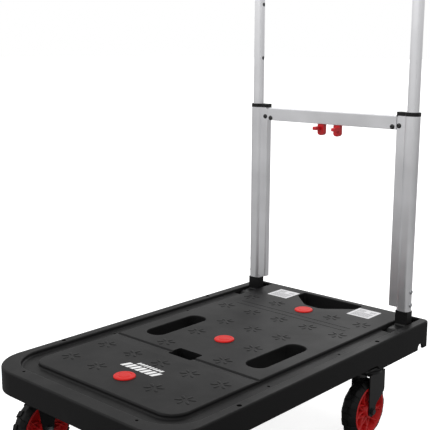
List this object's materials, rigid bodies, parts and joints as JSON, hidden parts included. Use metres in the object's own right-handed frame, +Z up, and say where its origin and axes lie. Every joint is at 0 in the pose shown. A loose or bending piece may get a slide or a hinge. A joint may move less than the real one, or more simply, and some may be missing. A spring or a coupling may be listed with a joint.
{
  "type": "folding platform cart",
  "caption": "Folding platform cart: moulded deck on swivel and fixed casters, with a telescoping handle that folds flat over the deck.",
  "frame": {"origin": "on the ground under the middle of the deck", "axes": "+Z up, +X across the deck to the right, +Y along the deck towards the handle; the handle folds towards -Y"},
  "size_m": [0.48, 0.786, 1.1007],
  "materials": {
    "deck_plastic": "moulded black plastic, fine grain",
    "foot_plastic": "black nylon",
    "collar_plastic": "black nylon",
    "anodised_aluminium": "satin, brushed along the tube",
    "cap_red": "red plastic",
    "lever_red": "red plastic",
    "rim_red": "red plastic",
    "tyre_rubber": "black rubber",
    "grip_rubber": "black foam rubber",
    "black_steel": "black powder coat",
    "zinc_steel": "zinc plated",
    "black_screws": "blackened steel",
    "label_white": "blank white film"
  },
  "bodies": {
    "root": {"deck_shell": "deck_plastic", "front_cross_beam": "black_steel", "rear_cross_beam": "black_steel", "centre_rail": "black_steel", "front_cap": "cap_red", "middle_cap": "cap_red", "rear_cap": "cap_red", "left_label": "label_white", "right_label": "label_white", "left_hinge_bracket": "black_steel", "right_hinge_bracket": "black_steel", "left_hinge_pin": "zinc_steel", "right_hinge_pin": "zinc_steel", "bracket_bolts": "zinc_steel", "detent_plungers": "zinc_steel", "caster_bolts": "black_screws", "rear_kingpins": "zinc_steel", "front_left_caster_fork": "black_steel", "front_right_caster_fork": "black_steel", "front_axle_bolts": "zinc_steel", "rear_left_caster_plate": "black_steel", "rear_right_caster_plate": "black_steel"},
    "handle_lower": {"left_hinge_foot": "foot_plastic", "right_hinge_foot": "foot_plastic", "foot_rivets": "zinc_steel", "left_lower_post": "anodised_aluminium", "right_lower_post": "anodised_aluminium", "left_post_collar": "collar_plastic", "right_post_collar": "collar_plastic", "crossbar": "anodised_aluminium", "left_crossbar_joiner": "collar_plastic", "right_crossbar_joiner": "collar_plastic", "crossbar_screws": "black_screws", "left_lock_spring": "zinc_steel", "right_lock_spring": "zinc_steel"},
    "left_release": {"left_release_lever": "lever_red", "left_lock_rod": "zinc_steel"},
    "right_release": {"right_release_lever": "lever_red", "right_lock_rod": "zinc_steel"},
    "handle_upper": {"left_inner_tube": "anodised_aluminium", "right_inner_tube": "anodised_aluminium", "left_guide_bush": "collar_plastic", "right_guide_bush": "collar_plastic", "left_handle_elbow": "collar_plastic", "right_handle_elbow": "collar_plastic", "top_bar": "anodised_aluminium", "grip_sleeve": "grip_rubber"},
    "rear_left_caster": {"rear_left_caster_fork": "black_steel", "rear_left_axle_bolt": "black_screws"},
    "rear_right_caster": {"rear_right_caster_fork": "black_steel", "rear_right_axle_bolt": "black_screws"},
    "front_left_wheel": {"front_left_rim": "rim_red", "front_left_tyre": "tyre_rubber"},
    "front_right_wheel": {"front_right_rim": "rim_red", "front_right_tyre": "tyre_rubber"},
    "rear_left_wheel": {"rear_left_rim": "rim_red", "rear_left_tyre": "tyre_rubber"},
    "rear_right_wheel": {"rear_right_rim": "rim_red", "rear_right_tyre": "tyre_rubber"}
  },
  "joints": [
    {"name": "handle_fold", "type": "hinge", "parent": "root", "child": "handle_lower", "pos_m": [0, 0.31, 0.19], "axis": [1, 0, 0], "range_deg": [0, 90]},
    {"name": "handle_telescope", "type": "slide", "parent": "handle_lower", "child": "handle_upper", "axis": [0, 0, 1], "range_m": [-0.24, 0]},
    {"name": "left_release_slide", "type": "slide", "parent": "handle_lower", "child": "left_release", "axis": [1, 0, 0], "range_m": [0, 0.007], "stiffness_N_per_m": 400, "springref_m": -0.01, "deforming": ["left_lock_spring"]},
    {"name": "right_release_slide", "type": "slide", "parent": "handle_lower", "child": "right_release", "axis": [-1, 0, 0], "range_m": [0, 0.007], "stiffness_N_per_m": 400, "springref_m": -0.01, "deforming": ["right_lock_spring"]},
    {"name": "rear_left_swivel", "type": "hinge", "parent": "root", "child": "rear_left_caster", "pos_m": [-0.205, 0.21, 0.14], "axis": [0, 0, 1], "continuous": true},
    {"name": "rear_right_swivel", "type": "hinge", "parent": "root", "child": "rear_right_caster", "pos_m": [0.205, 0.21, 0.14], "axis": [0, 0, 1], "continuous": true},
    {"name": "front_left_wheel_spin", "type": "hinge", "parent": "root", "child": "front_left_wheel", "pos_m": [-0.205, -0.296, 0.0625], "axis": [1, 0, 0], "continuous": true},
    {"name": "rear_left_wheel_spin", "type": "hinge", "parent": "rear_left_caster", "child": "rear_left_wheel", "pos_m": [-0.205, 0.194, 0.0625], "axis": [1, 0, 0], "continuous": true},
    {"name": "front_right_wheel_spin", "type": "hinge", "parent": "root", "child": "front_right_wheel", "pos_m": [0.205, -0.296, 0.0625], "axis": [1, 0, 0], "continuous": true},
    {"name": "rear_right_wheel_spin", "type": "hinge", "parent": "rear_right_caster", "child": "rear_right_wheel", "pos_m": [0.205, 0.194, 0.0625], "axis": [1, 0, 0], "continuous": true}
  ]
}
